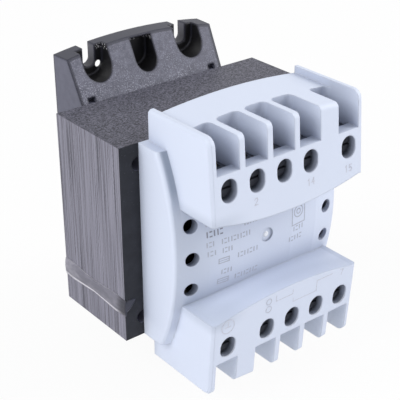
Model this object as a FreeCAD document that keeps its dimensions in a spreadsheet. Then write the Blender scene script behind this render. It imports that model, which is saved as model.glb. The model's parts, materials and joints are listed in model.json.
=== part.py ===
import FreeCAD, Part
import math
import os
import Sketcher

# Din rail transformer: a welded EI core, its coil, a terminal cover on the front
# and a mounting base with a rail latch on the back.
# Millimetres. X to the right, Y from front to back, Z up.
# The origin is the centre of the rear mounting face.

SIZES = [
    ("limb", 13.0, "outer limb and yoke of the EI sheets; every other core size follows it"),
    ("stack_depth", 32.9, "thickness of the stack of sheets"),
    ("corner_hole", 4.4, "punched hole in each corner of the sheets"),
    ("bead_half_height", 3.3, "weld bead, half its height where it is widest"),
    ("bead_waist", 2.3, "weld bead, half its height at the middle of the stack"),
    ("bead_bulge", 0.75, "how far the weld bead stands out"),
    ("bead_drop", 1.1, "weld bead, its middle below the joint of the sheets"),
    ("bead_lap", 3.8, "weld bead, its tongue on the front face"),
    ("former_wall", 1.0, "coil former, tube wall"),
    ("former_flange", 1.2, "coil former, flange thickness"),
    ("former_overhang", 10.5, "coil former, flange past the front and back of the core"),
    ("fit_gap", 0.3, "clearance between pieces that are put together"),
    ("primary_build", 4.2, "primary winding, thickness of its layers"),
    ("insulation", 0.4, "wrap between the windings"),
    ("secondary_build", 3.6, "secondary winding, thickness of its layers"),
    ("tape", 0.3, "outer wrap of the coil"),
    ("coil_corner", 1.0, "corner radius of the innermost layer"),
    ("cover_width", 64.4, "terminal cover across its side walls"),
    ("panel_radius", 76.0, "curved front panel, its radius"),
    ("panel_rise", 20.0, "crown of the front panel before the core"),
    ("panel_level", 10.2, "half width of the panel's level middle"),
    ("panel_bend", 21.2, "second bend of the panel towards each side, from the middle"),
    ("bend_fall", 1.1, "how far the panel has fallen at that bend"),
    ("side_fall", 3.2, "how far the panel has fallen where its rolled edge starts"),
    ("panel_roll", 1.6, "radius of the rolled edge to the side walls, in three flats"),
    ("cover_wall", 2.0, "walls of the cover"),
    ("vent_diameter", 4.4, "vent holes down both margins of the panel"),
    ("vent_pitch", 10.6, "distance between the vents"),
    ("vent_side", 26.75, "vents from the middle of the panel"),
    ("dimple_diameter", 4.5, "shallow round mark in the middle of the panel"),
    ("dimple_depth", 0.6, "depth of that mark"),
    ("terminal_pitch", 10.2, "distance between neighbouring terminals"),
    ("terminal_width", 8.2, "width of a wire compartment"),
    ("end_wall", 2.0, "end walls of a terminal block"),
    ("block_setback", 0.8, "back of a terminal block before the core"),
    ("block_reach", 31.4, "front of a terminal block before the core, carried down to mid height"),
    ("block_lean", 4.4, "lean of that front, in degrees"),
    ("block_top", 41.46, "top of the partitions above mid height"),
    ("block_arch", 210.0, "radius of the arch that the partitions' tops follow"),
    ("block_corner", 1.7, "rounding of the partitions' front corners"),
    ("smile_height", 13.1, "inner edge of a terminal block above mid height"),
    ("smile_radius", 125.0, "radius of that edge"),
    ("wall_back_top", 42.0, "end wall, its top at the back"),
    ("wall_rise", 0.3, "end wall, rise of its top line towards the front, in degrees"),
    ("wall_nose_radius", 3.0, "end wall, rounding of its front corner"),
    ("edge_bevel", 0.8, "small bevel along the end walls' outer edges"),
    ("ledge_height", 30.9, "floor of the wire compartments"),
    ("ledge_reach", 25.0, "back of the blocks' front wall before the core"),
    ("compartment_back", 15.1, "back of the wire compartments before the core"),
    ("compartment_corner", 2.0, "rounding of the compartments' back corners"),
    ("well_floor", 17.0, "floor of the clamp wells above mid height"),
    ("screw_height", 25.7, "terminal screws above mid height"),
    ("driver_width", 5.7, "screwdriver hole across"),
    ("driver_height", 7.1, "screwdriver hole from top to bottom"),
    ("cage_wall", 1.2, "clamp cage, front and back wall"),
    ("cage_side", 0.9, "clamp cage, side walls"),
    ("cage_height", 8.4, "clamp cage, its height"),
    ("screw_diameter", 3.0, "terminal screw, thread"),
    ("head_diameter", 5.2, "terminal screw, head"),
    ("head_depth", 2.3, "terminal screw, its head behind the leaning front"),
    ("head_seat", 1.5, "terminal screw, back of its head behind the blocks' front wall"),
    ("head_slot", 0.8, "terminal screw, width and depth of the driver slot"),
    ("strip", 0.8, "thickness of the contact strips and of the earth strap"),
    ("strip_width", 4.6, "width of the contact strips"),
    ("strip_height", 18.7, "underside of the contact strips' tails above mid height"),
    ("thin_gap", 0.1, "clearance between pieces that bear on each other"),
    ("base_depth", 17.1, "mounting base behind the core"),
    ("base_width", 57.2, "mounting base across, at its back"),
    ("base_draft", 3.0, "draft of the base's sides, in degrees"),
    ("ear_top", 46.4, "top of the ears above mid height"),
    ("ear_arch", 180.0, "radius of the ears' arched top"),
    ("ear_foot", 25.2, "height where the ears' leaning front leaves the core"),
    ("ear_edge", 6.2, "thickness of the ears at their top"),
    ("ear_wall", 3.8, "wall behind the ears' pockets"),
    ("pocket_side", 18.1, "ear pockets and slots from the middle"),
    ("pocket_radius", 5.1, "round foot of an ear pocket"),
    ("pocket_height", 40.9, "centre of that round foot above mid height"),
    ("slot_width", 4.4, "screw slots in the ears"),
    ("middle_radius", 4.1, "round foot of the middle pocket"),
    ("middle_foot", 35.2, "foot of the middle pocket above mid height"),
    ("middle_skin", 0.7, "skin that closes the middle pocket's top"),
    ("sight_diameter", 2.4, "small hole beside each upper screw slot"),
    ("sight_inset", 3.5, "that hole from the middle of the pocket, towards the middle"),
    ("sight_drop", 1.9, "that hole below the centre of the pocket's round foot"),
    ("sight_skin", 0.8, "wall that the hole goes through, before the recess behind it"),
    ("sight_recess", 5.6, "width and height of that recess"),
    ("notch_side", 23.9, "notch in the foot of the upper ear from the middle"),
    ("notch_width", 2.6, "width of the notch"),
    ("notch_top", 32.4, "top of the notch above mid height"),
    ("notch_depth", 1.6, "height and depth of the notch"),
    ("base_floor", 2.4, "wall between the coil and the rail"),
    ("rail_height", 35.0, "mounting rail across its flanges"),
    ("rail_play", 0.3, "play of the rail at each edge"),
    ("rail_recess", 3.6, "depth of the rail channel"),
    ("rail_lip", 2.2, "thickness of the lips that hold the rail"),
    ("rail_grip", 1.5, "how far the lips reach over the rail"),
    ("latch_width", 10.0, "rail latch, the part that shows"),
    ("latch_wing", 2.0, "rail latch, each guide wing"),
    ("latch_skin", 1.7, "wall of the base over the wings"),
    ("latch_gap", 0.2, "running clearance of the latch"),
    ("latch_shoulder", 1.5, "latch wings below the rail channel"),
    ("latch_tail", 4.0, "latch below the ear, as far as it is pulled down"),
    ("pull_slot", 2.4, "screwdriver slot in the latch's tail, its height"),
    ("pull_width", 5.0, "that slot, its width"),
    ("spring_diameter", 3.2, "latch spring, outside"),
    ("spring_wire", 0.5, "latch spring, wire"),
    ("spring_length", 12.8, "latch spring as it sits"),
    ("spring_turns", 6.0, "latch spring, turns"),
    ("spring_top", 28.2, "upper end of the latch spring below mid height"),
    ("latch_tab", 1.8, "tab of the latch that presses the spring"),
    ("core_out", 8.0, "moulded recess behind the ears and terminal blocks, its width at most"),
    ("strap_length", 9.0, "earth strap, its foot on the core"),
]

doc = FreeCAD.newDocument("din_rail_transformer")
sheet = doc.addObject("Spreadsheet::Sheet", "Sizes")
for row, (alias, number, meaning) in enumerate(SIZES, 1):
    sheet.set(f"A{row}", str(number))
    sheet.setAlias(f"A{row}", alias)
    sheet.set(f"B{row}", meaning)
doc.recompute()


class Size:
    """A number together with the spreadsheet formula that gives it."""

    def __init__(self, value, formula):
        self.value = value
        self.formula = formula

    def __add__(self, other):
        other = sized(other)
        return Size(self.value + other.value, f"({self.formula} + {other.formula})")

    def __sub__(self, other):
        other = sized(other)
        return Size(self.value - other.value, f"({self.formula} - {other.formula})")

    def __mul__(self, other):
        other = sized(other)
        return Size(self.value * other.value, f"({self.formula} * {other.formula})")

    def __truediv__(self, other):
        other = sized(other)
        return Size(self.value / other.value, f"({self.formula} / {other.formula})")

    def __neg__(self):
        return Size(-self.value, f"(0 - {self.formula})")

    __radd__ = __add__
    __rmul__ = __mul__


def sized(number):
    if isinstance(number, Size):
        return number
    if number < 0:
        return Size(float(number), f"(0 - {-number})")
    return Size(float(number), str(number))


def cell(alias):
    return Size(float(sheet.get(alias)), f"Sizes.{alias}")


def root(size):
    return Size(math.sqrt(size.value), f"sqrt({size.formula})")


def slope(angle):
    return Size(math.tan(math.radians(angle.value)), f"tan({angle.formula})")


def sine(angle):
    return Size(math.sin(math.radians(angle.value)), f"sin({angle.formula})")


def cosine(angle):
    return Size(math.cos(math.radians(angle.value)), f"cos({angle.formula})")


def arc_height(radius, half_width):
    """How far an arc of this radius falls away at this distance from its crown."""
    return radius - root(radius * radius - half_width * half_width)


def bind(item, prop, size):
    item.setExpression(prop, sized(size).formula)


def origin(body, role):
    for feature in body.Origin.OriginFeatures:
        if feature.Role == role:
            return feature


def arc_curve(start, end, radius):
    """A minor arc; a positive radius turns anticlockwise from start to end."""
    middle = (start + end) * 0.5
    chord = end - start
    left = FreeCAD.Vector(-chord.y, chord.x, 0).normalize()
    reach = math.sqrt(max(radius * radius - chord.Length ** 2 / 4, 0.0))
    centre = middle + left * (reach if radius > 0 else -reach)
    first, last = (start, end) if radius > 0 else (end, start)
    from_angle = math.atan2(first.y - centre.y, first.x - centre.x)
    to_angle = math.atan2(last.y - centre.y, last.x - centre.x)
    circle = Part.Circle(centre, FreeCAD.Vector(0, 0, 1), abs(radius))
    return Part.ArcOfCircle(circle, from_angle, to_angle)


def fix_point(sketch, geometry, end, x, y):
    for kind, size in (("DistanceX", x), ("DistanceY", y)):
        number = sketch.addConstraint(Sketcher.Constraint(kind, -1, 1, geometry, end, size.value))
        bind(sketch, f"Constraints[{number}]", size)


def fix_radius(sketch, geometry, radius):
    number = sketch.addConstraint(Sketcher.Constraint("Radius", geometry, abs(radius.value)))
    bind(sketch, f"Constraints[{number}]", radius if radius.value > 0 else -radius)


def draw_circle(sketch, x, y, radius):
    centre = FreeCAD.Vector(x.value, y.value, 0)
    number = sketch.addGeometry(Part.Circle(centre, FreeCAD.Vector(0, 0, 1), radius.value))
    fix_point(sketch, number, 3, x, y)
    fix_radius(sketch, number, radius)


def draw_outline(sketch, corners):
    """A closed outline. A corner is (x, y), or (x, y, radius) where an arc runs to the next corner."""
    corners = [tuple(sized(part) for part in corner) for corner in corners]
    ends = []
    for place, corner in enumerate(corners):
        following = corners[(place + 1) % len(corners)]
        start = FreeCAD.Vector(corner[0].value, corner[1].value, 0)
        end = FreeCAD.Vector(following[0].value, following[1].value, 0)
        if len(corner) == 3:
            number = sketch.addGeometry(arc_curve(start, end, corner[2].value))
            ends.append((number, (1, 2) if corner[2].value > 0 else (2, 1)))
        else:
            number = sketch.addGeometry(Part.LineSegment(start, end))
            ends.append((number, (1, 2)))
    for place, (number, (first, last)) in enumerate(ends):
        next_number, (next_first, next_last) = ends[(place + 1) % len(ends)]
        sketch.addConstraint(Sketcher.Constraint("Coincident", number, last, next_number, next_first))
    for corner, (number, (first, last)) in zip(corners, ends):
        fix_point(sketch, number, first, corner[0], corner[1])
        if len(corner) == 3:
            fix_radius(sketch, number, corner[2])


def draw(body, name, role, offset, loops):
    """A sketch on an origin plane of its body, moved along the plane's normal."""
    sketch = body.newObject("Sketcher::SketchObject", name)
    sketch.AttachmentSupport = [(origin(body, role), "")]
    sketch.MapMode = "FlatFace"
    bind(sketch, "AttachmentOffset.Base.z", offset)
    for loop in loops:
        if loop[0] == "circle":
            draw_circle(sketch, *(sized(part) for part in loop[1:]))
        else:
            draw_outline(sketch, loop)
    return sketch


def front_view(body, name, y, loops):
    """Sketch in X and Z at the given Y; its normal points to the front."""
    return draw(body, name, "XZ_Plane", -sized(y), loops)


def side_view(body, name, x, loops):
    """Sketch in Y and Z at the given X; its normal points to the right."""
    return draw(body, name, "YZ_Plane", x, loops)


def plan_view(body, name, z, loops):
    """Sketch in X and Y at the given Z; its normal points up."""
    return draw(body, name, "XY_Plane", z, loops)


def pad(body, name, sketch, length, both=False, against=False):
    feature = body.newObject("PartDesign::Pad", name)
    feature.Profile = sketch
    feature.Reversed = against
    feature.SideType = "Symmetric" if both else "One side"
    bind(feature, "Length", length)
    doc.recompute()
    return feature


def cut(body, name, sketch, length=None, both=False, along=False):
    """A pocket against the sketch's normal, or along it; through everything without a length."""
    before = body.Shape.Volume
    feature = body.newObject("PartDesign::Pocket", name)
    feature.Profile = sketch
    feature.Reversed = along
    feature.SideType = "Symmetric" if both else "One side"
    if length is None:
        feature.Type = "ThroughAll"
    else:
        bind(feature, "Length", length)
    doc.recompute()
    if not body.Shape.Volume < before:
        raise RuntimeError(f"{name} cuts nothing")
    return feature


def dress(kind, body, name, chosen):
    base = body.Tip
    names = [f"Edge{n}" for n, edge in enumerate(base.Shape.Edges, 1) if chosen(edge)]
    if not names:
        raise RuntimeError(f"{name} finds no edge")
    feature = body.newObject(kind, name)
    feature.Base = (base, names)
    return feature


def fillet(body, name, radius, chosen):
    feature = dress("PartDesign::Fillet", body, name, chosen)
    bind(feature, "Radius", radius)
    doc.recompute()


def chamfer(body, name, size, chosen):
    feature = dress("PartDesign::Chamfer", body, name, chosen)
    bind(feature, "Size", size)
    doc.recompute()


def near(one, other):
    return abs(one - sized(other).value) < 0.01


def new_body(label):
    body = doc.addObject("PartDesign::Body", label)
    body.Label = label
    pieces[label] = body
    return body


def rectangle(x0, x1, z0, z1):
    return [(x0, z0), (x1, z0), (x1, z1), (x0, z1)]


def box(name, x0, x1, y0, y1, z0, z1):
    block = doc.addObject("Part::Box", name)
    for prop, low, high in (("Length", x0, x1), ("Width", y0, y1), ("Height", z0, z1)):
        bind(block, prop, sized(high) - low)
    for axis, low in (("x", x0), ("y", y0), ("z", z0)):
        bind(block, f"Placement.Base.{axis}", low)
    return block


def prism(name, x, z, y0, y1, radius, sides):
    """A many-sided rod along Y."""
    item = doc.addObject("Part::Prism", name)
    item.Placement.Rotation = FreeCAD.Rotation(FreeCAD.Vector(1, 0, 0), -90)
    item.Polygon = sides
    bind(item, "Circumradius", radius)
    bind(item, "Height", sized(y1) - y0)
    for axis, size in (("x", x), ("y", y0), ("z", z)):
        bind(item, f"Placement.Base.{axis}", size)
    return item


def join(name, shapes):
    fused = doc.addObject("Part::MultiFuse", name)
    fused.Shapes = shapes
    return fused


def take(name, base, tool):
    result = doc.addObject("Part::Cut", name)
    result.Base = base
    result.Tool = tool
    return result


def keep(label, item):
    item.Label = label
    pieces[label] = item
    return item


UP = FreeCAD.Vector(0, 0, 1)
SPRING_RUNS = 7
WIRE_SIDES = 6
SHANK_SIDES = 8
HEAD_SIDES = 16
BEAD_SIDES = 10
ROLL_EASE = 1 - math.cos(math.radians(30))

# Cross-sections of a weld bead, each with its place as a share of the run's length.
# Along the side: how full it is between the waist and the full height, and its share of the bulge.
BEAD_STATIONS = [(-0.015, 0.5, 0.6), (0.14, 1.0, 1.0), (0.32, 0.5, 0.95), (0.5, 0.0, 0.9),
                 (0.68, 0.5, 0.95), (0.86, 1.0, 1.0), (1.0, 0.85, 0.75)]
# Round the corner: its share of the full height and of the bulge.
TONGUE_STATIONS = [(-0.05, 0.7, 0.6), (0.45, 0.55, 0.6), (1.0, 0.2, 0.15)]

pieces = {}

limb = cell("limb")
core_half_width = 3 * limb
core_half_height = 2.5 * limb
window_half_height = 1.5 * limb
core_back = -cell("base_depth")
core_front = core_back - cell("stack_depth")
core_middle = (core_front + core_back) / 2
hole_x = core_half_width - limb / 2
hole_z = core_half_height - limb / 2
hole_radius = cell("corner_hole") / 2

gap = cell("fit_gap")
thin_gap = cell("thin_gap")
pitch = cell("terminal_pitch")
half_terminal = cell("terminal_width") / 2
outer_terminal = 2.25 * pitch
TERMINALS = [-outer_terminal, -1.25 * pitch, -0.25 * pitch, 0.75 * pitch, outer_terminal]


def make_core():
    sheets = new_body("e_laminations")
    outline = [
        (-core_half_width, core_half_height),
        (-core_half_width, -window_half_height),
        (-2 * limb, -window_half_height),
        (-2 * limb, window_half_height),
        (-limb, window_half_height),
        (-limb, -window_half_height),
        (limb, -window_half_height),
        (limb, window_half_height),
        (2 * limb, window_half_height),
        (2 * limb, -window_half_height),
        (core_half_width, -window_half_height),
        (core_half_width, core_half_height),
    ]
    holes = [("circle", side * hole_x, hole_z, hole_radius) for side in (-1, 1)]
    pad(sheets, "EStack", front_view(sheets, "EOutline", core_back, [outline] + holes), cell("stack_depth"))

    bar = new_body("i_laminations")
    outline = rectangle(-core_half_width, core_half_width, -core_half_height, -window_half_height)
    holes = [("circle", side * hole_x, -hole_z, hole_radius) for side in (-1, 1)]
    pad(bar, "IStack", front_view(bar, "IOutline", core_back, [outline] + holes), cell("stack_depth"))


def oval(centre, tall, thick, along):
    """A many-sided oval about a point, square to a run that goes along Y or X."""
    corners = []
    for corner in range(BEAD_SIDES + 1):
        turn = 2 * math.pi * corner / BEAD_SIDES
        outwards = thick * math.cos(turn)
        upwards = tall * math.sin(turn)
        shift = (outwards, 0, upwards) if along == "y" else (0, outwards, upwards)
        corners.append(centre + FreeCAD.Vector(*shift))
    return Part.makePolygon(corners)


def run(name, sections):
    body = doc.addObject("Part::Feature", name)
    body.Shape = Part.makeLoft(sections, True, True)
    return body


def make_weld_beads():
    """A bead across each side of the core, over the joint of the sheets, with a tongue round the corner."""
    tall = cell("bead_half_height").value
    waist = cell("bead_waist").value
    bulge = cell("bead_bulge").value
    depth = cell("stack_depth").value
    lap = cell("bead_lap").value
    side = -core_half_width.value
    front = core_front.value
    level = (-window_half_height - cell("bead_drop")).value
    sections = []
    for share, fullness, bulge_share in BEAD_STATIONS:
        centre = FreeCAD.Vector(side, front + share * depth, level)
        sections.append(oval(centre, waist + fullness * (tall - waist), bulge * bulge_share, "y"))
    side_run = run("BeadRun", sections)

    sections = []
    for share, height_share, bulge_share in TONGUE_STATIONS:
        centre = FreeCAD.Vector(side + lap * share, front, level + tall / 2 * share)
        sections.append(oval(centre, tall * height_share, bulge * bulge_share, "x"))
    bead = join("BeadWhole", [side_run, run("BeadTongue", sections)])
    core_block = box("BeadTool", -core_half_width, core_half_width, core_front, core_back,
                     -core_half_height, core_half_height)
    left = keep("weld_bead_left", take("WeldBeadLeft", bead, core_block))
    right = doc.addObject("Part::Mirroring", "WeldBeadRight")
    right.Source = left
    right.Normal = FreeCAD.Vector(1, 0, 0)
    keep("weld_bead_right", right)


def eased_rectangle(half_x, half_y, middle_y, radius):
    """A rectangle whose corners turn in three short sides, as a stack of wound wire does."""
    corners = []
    ease = 1 - 1 / math.sqrt(2)
    for x_side, y_side, along in ((1, -1, "x"), (1, 1, "y"), (-1, 1, "x"), (-1, -1, "y")):
        arc = [(0, 1), (ease, ease), (1, 0)]
        if along == "x":
            arc.reverse()
        for into_x, into_y in arc:
            x = x_side * (half_x - into_x * radius)
            corners.append((x, middle_y + y_side * (half_y - into_y * radius)))
    return corners


def ring(label, inner_x, inner_y, build, corner, half_height):
    """A coil layer: a rectangular ring about the centre limb with eased corners."""
    body = new_body(label)
    outer = eased_rectangle(inner_x + build, inner_y + build, core_middle, corner + build)
    inner = eased_rectangle(inner_x, inner_y, core_middle, corner)
    pad(body, "Layer", plan_view(body, "LayerPlan", 0, [outer, inner]), 2 * half_height, both=True)


def make_coil():
    tube_x = limb + gap
    tube_y = cell("stack_depth") / 2 + gap
    wall = cell("former_wall")
    flange = cell("former_flange")
    half_height = window_half_height - thin_gap
    flange_x = 2 * limb - gap - thin_gap
    flange_y = cell("stack_depth") / 2 + cell("former_overhang")

    former = new_body("coil_former")
    for name, level in (("Lower", -half_height), ("Upper", half_height - flange)):
        plate = rectangle(-flange_x, flange_x, core_middle - flange_y, core_middle + flange_y)
        if name == "Lower":
            pad(former, "LowerFlange", plan_view(former, "LowerPlate", level, [plate]), flange)
            tube = eased_rectangle(tube_x + wall, tube_y + wall, core_middle, cell("coil_corner") - thin_gap)
            pad(former, "Tube", plan_view(former, "TubeOutline", level, [tube]), 2 * half_height)
        else:
            pad(former, "UpperFlange", plan_view(former, "UpperPlate", level, [plate]), flange)
    bore = rectangle(-tube_x, tube_x, core_middle - tube_y, core_middle + tube_y)
    cut(former, "LimbBore", plan_view(former, "BoreOutline", 0, [bore]), both=True)

    layer_height = half_height - flange - thin_gap
    corner = cell("coil_corner")
    inner_x = tube_x + wall + thin_gap
    inner_y = tube_y + wall + thin_gap
    for label, build in (
        ("primary_winding", cell("primary_build")),
        ("winding_insulation", cell("insulation")),
        ("secondary_winding", cell("secondary_build")),
        ("outer_tape", cell("tape")),
    ):
        ring(label, inner_x, inner_y, build, corner, layer_height)
        inner_x = inner_x + build
        inner_y = inner_y + build
        corner = corner + build


def front_at(height):
    """Y of the blocks' leaning front at a height above mid height."""
    return core_front - cell("block_reach") + slope(cell("block_lean")) * height


def wall_nose(back, back_top):
    """The two corners of an end wall's rounded nose, between its rising top line and the leaning front."""
    rise = cell("wall_rise")
    lean = cell("block_lean")
    front_foot = front_at(sized(0))
    corner_z = (back_top + slope(rise) * (back - front_foot)) / (1 + slope(rise) * slope(lean))
    corner_y = front_at(corner_z)
    reach = cell("wall_nose_radius") * slope((rise - lean + 90) / 2)
    return [
        (corner_y + reach * cosine(rise), corner_z - reach * sine(rise), cell("wall_nose_radius")),
        (corner_y - reach * sine(lean), corner_z - reach * cosine(lean)),
    ]


def make_cover():
    """Half of the cover above mid height, then its like turned half a turn about the front-to-back axis."""
    cover = new_body("terminal_cover")
    width = cell("cover_width")
    wall = cell("cover_wall")
    radius = cell("panel_radius")
    crown = core_front - cell("panel_rise")
    panel_centre = crown + radius
    roll = cell("panel_roll")
    edge_radius = radius - cell("side_fall")
    half_panel = [
        (cell("panel_level"), -radius),
        (cell("panel_bend"), cell("bend_fall") - radius),
        (width / 2 - roll, -edge_radius),
        (width / 2 - roll / 2, ROLL_EASE * roll - edge_radius),
        (width / 2 - ROLL_EASE * roll, roll / 2 - edge_radius),
        (width / 2, roll - edge_radius),
        (width / 2, 0),
    ]
    outline = [(-x, y) for x, y in reversed(half_panel)] + half_panel
    barrel = plan_view(cover, "PanelOutline", 0, [outline])
    bind(barrel, "AttachmentOffset.Base.y", panel_centre)
    shell = cover.newObject("PartDesign::Revolution", "Shell")
    shell.Profile = barrel
    shell.ReferenceAxis = (barrel, ["H_Axis"])
    shell.Angle = 90
    shell.Reversed = True
    doc.recompute()
    beyond = core_front - 2 * cell("block_reach")
    ends = [
        (core_front, 0),
        (radius, 0),
        (radius, 2 * radius),
        (beyond, 2 * radius),
        (beyond, core_half_height),
        (core_front, core_half_height),
    ]
    cut(cover, "ShellEnds", side_view(cover, "ShellEndsProfile", 0, [ends]), both=True)

    inner_half = outer_terminal + half_terminal
    block_half = inner_half + cell("end_wall")
    block_back = core_front - cell("block_setback")
    top = cell("block_top")
    arch = cell("block_arch")
    smile = cell("smile_radius")
    smile_end = cell("smile_height") + arc_height(smile, inner_half)
    arch_end = top - arc_height(arch, inner_half)
    outline = [
        (-inner_half, smile_end, smile),
        (inner_half, smile_end),
        (inner_half, arch_end, arch),
        (-inner_half, arch_end),
    ]
    pad(cover, "Block", front_view(cover, "BlockOutline", block_back, [outline]), cell("block_reach"))
    above = 2 * top
    lean = [
        (beyond, 0),
        (front_at(sized(0)), 0),
        (front_at(above), above),
        (beyond, above),
    ]
    cut(cover, "LeaningFront", side_view(cover, "FrontProfile", 0, [lean]), both=True)
    front_top = front_at(top)
    fillet(cover, "PartitionCorners", cell("block_corner"),
           lambda edge: edge.BoundBox.XLength > 1.9 * inner_half.value
           and edge.CenterOfMass.z > arch_end.value and edge.CenterOfMass.y < front_top.value + 1)

    wall_back_top = cell("wall_back_top")
    wall_profile = [
        (block_back, smile_end),
        (block_back, wall_back_top),
        *wall_nose(block_back, wall_back_top),
        (front_at(smile_end), smile_end),
    ]
    for name, side in (("Left", -1), ("Right", 1)):
        sketch = side_view(cover, f"{name}WallProfile", side * inner_half, [wall_profile])
        pad(cover, f"{name}Wall", sketch, cell("end_wall"), against=side < 0)
    chamfer(cover, "WallEdges", cell("edge_bevel"),
           lambda edge: near(abs(edge.CenterOfMass.x), block_half) and near(edge.BoundBox.XLength, 0)
           and edge.CenterOfMass.z > wall_back_top.value - cell("edge_bevel").value
           and edge.BoundBox.YLength > cell("wall_nose_radius").value * 1.1)

    ledge = cell("ledge_height")
    well_back = core_front - cell("compartment_back")
    well_front = core_front - cell("ledge_reach")
    corner = cell("compartment_corner")
    slots = []
    wells = []
    driver_holes = []
    tail_slots = []
    recesses = []
    half_driver = cell("driver_width") / 2
    straight = (cell("driver_height") - cell("driver_width")) / 2
    screw_height = cell("screw_height")
    half_tail = cell("strip_width") / 2 + gap
    tail_low = cell("strip_height") - gap
    tail_high = cell("strip_height") + cell("strip") + gap
    half_recess = cell("core_out") / 2
    for x in TERMINALS:
        left = x - half_terminal
        right = x + half_terminal
        slots.append([
            (left, beyond),
            (right, beyond),
            (right, well_back - corner, corner),
            (right - corner, well_back),
            (left + corner, well_back, corner),
            (left, well_back - corner),
        ])
        wells.append(rectangle(left, right, well_front, well_back))
        driver_holes.append([
            (x + half_driver, screw_height - straight),
            (x + half_driver, screw_height + straight, half_driver),
            (x, screw_height + straight + half_driver, half_driver),
            (x - half_driver, screw_height + straight),
            (x - half_driver, screw_height - straight, half_driver),
            (x, screw_height - straight - half_driver, half_driver),
        ])
        tail_slots.append(rectangle(x - half_tail, x + half_tail, tail_low, tail_high))
        recesses.append(rectangle(x - half_recess, x + half_recess, core_half_height + 1, arch_end - wall))
    cut(cover, "WireCompartments", plan_view(cover, "CompartmentPlan", ledge, slots), along=True)
    cut(cover, "ClampWells", plan_view(cover, "WellPlan", ledge, wells), ledge - cell("well_floor"))
    cut(cover, "DriverHoles", front_view(cover, "DriverOutlines", well_front, driver_holes), along=True)
    cut(cover, "BackRecesses", front_view(cover, "RecessOutlines", block_back, recesses),
        cell("compartment_back") - cell("block_setback") - wall, along=True)

    cavity_front = well_back + wall + gap
    inner_radius = radius - wall
    cavity_top = core_half_height - wall
    step_reach = panel_centre - cavity_front
    step_height = root(inner_radius * inner_radius - step_reach * step_reach)
    step_foot = cell("well_floor") - wall - gap
    upper_front = panel_centre - root(inner_radius * inner_radius - cavity_top * cavity_top)
    side_radius = inner_radius - 2 * cell("bend_fall")
    cavity = [
        (panel_centre - side_radius, 0),
        (core_front, 0),
        (core_front, cavity_top),
        (panel_centre - root(side_radius * side_radius - cavity_top * cavity_top), cavity_top),
        (panel_centre - root(side_radius * side_radius - step_foot * step_foot), step_foot),
    ]
    cut(cover, "Hollow", side_view(cover, "HollowProfile", 0, [cavity]), width - 2 * wall, both=True)
    middle_cavity = [
        (crown + wall, 0),
        (core_front, 0),
        (core_front, step_foot),
        (panel_centre - root(inner_radius * inner_radius - step_foot * step_foot), step_foot, inner_radius),
    ]
    cut(cover, "MiddleHollow", side_view(cover, "MiddleHollowProfile", 0, [middle_cavity]),
        2 * cell("panel_level"), both=True)
    upper_cavity = [
        (core_front, step_foot),
        (core_front, cavity_top),
        (upper_front, cavity_top, inner_radius),
        (cavity_front, step_height),
        (cavity_front, step_foot),
    ]
    cut(cover, "UpperHollow", side_view(cover, "UpperHollowProfile", 0, [upper_cavity]),
        2 * inner_half, both=True)
    cut(cover, "TailSlots", front_view(cover, "TailOutlines", cavity_front, tail_slots),
        wall + 2 * gap, along=True)

    vent_radius = cell("vent_diameter") / 2
    vents = []
    for side in (-1, 1):
        for row_number in (0, 1):
            vents.append(("circle", side * cell("vent_side"), row_number * cell("vent_pitch"), vent_radius))
    cut(cover, "Vents", front_view(cover, "VentOutlines", cavity_front, vents), along=True)
    dimple = [("circle", 0, 0, cell("dimple_diameter") / 2)]
    cut(cover, "Dimple", front_view(cover, "DimpleOutline", crown + cell("dimple_depth"), dimple), along=True)

    turned = cover.newObject("PartDesign::PolarPattern", "BothHalves")
    turned.TransformMode = "Whole shape"
    turned.Axis = (origin(cover, "Y_Axis"), [""])
    turned.Occurrences = 2
    turned.Angle = 360
    turned.Refine = False
    cover.Tip = turned
    doc.recompute()


def u_shape(x, foot, radius, open_end, side):
    """A slot with a round foot, open away from mid height; side is 1 above mid height and -1 below."""
    if side > 0:
        return [
            (x + radius, open_end),
            (x - radius, open_end),
            (x - radius, foot, radius),
            (x, foot - radius, radius),
            (x + radius, foot),
        ]
    return [
        (x - radius, -open_end),
        (x + radius, -open_end),
        (x + radius, -foot, radius),
        (x, -foot + radius, radius),
        (x - radius, -foot),
    ]


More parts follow.
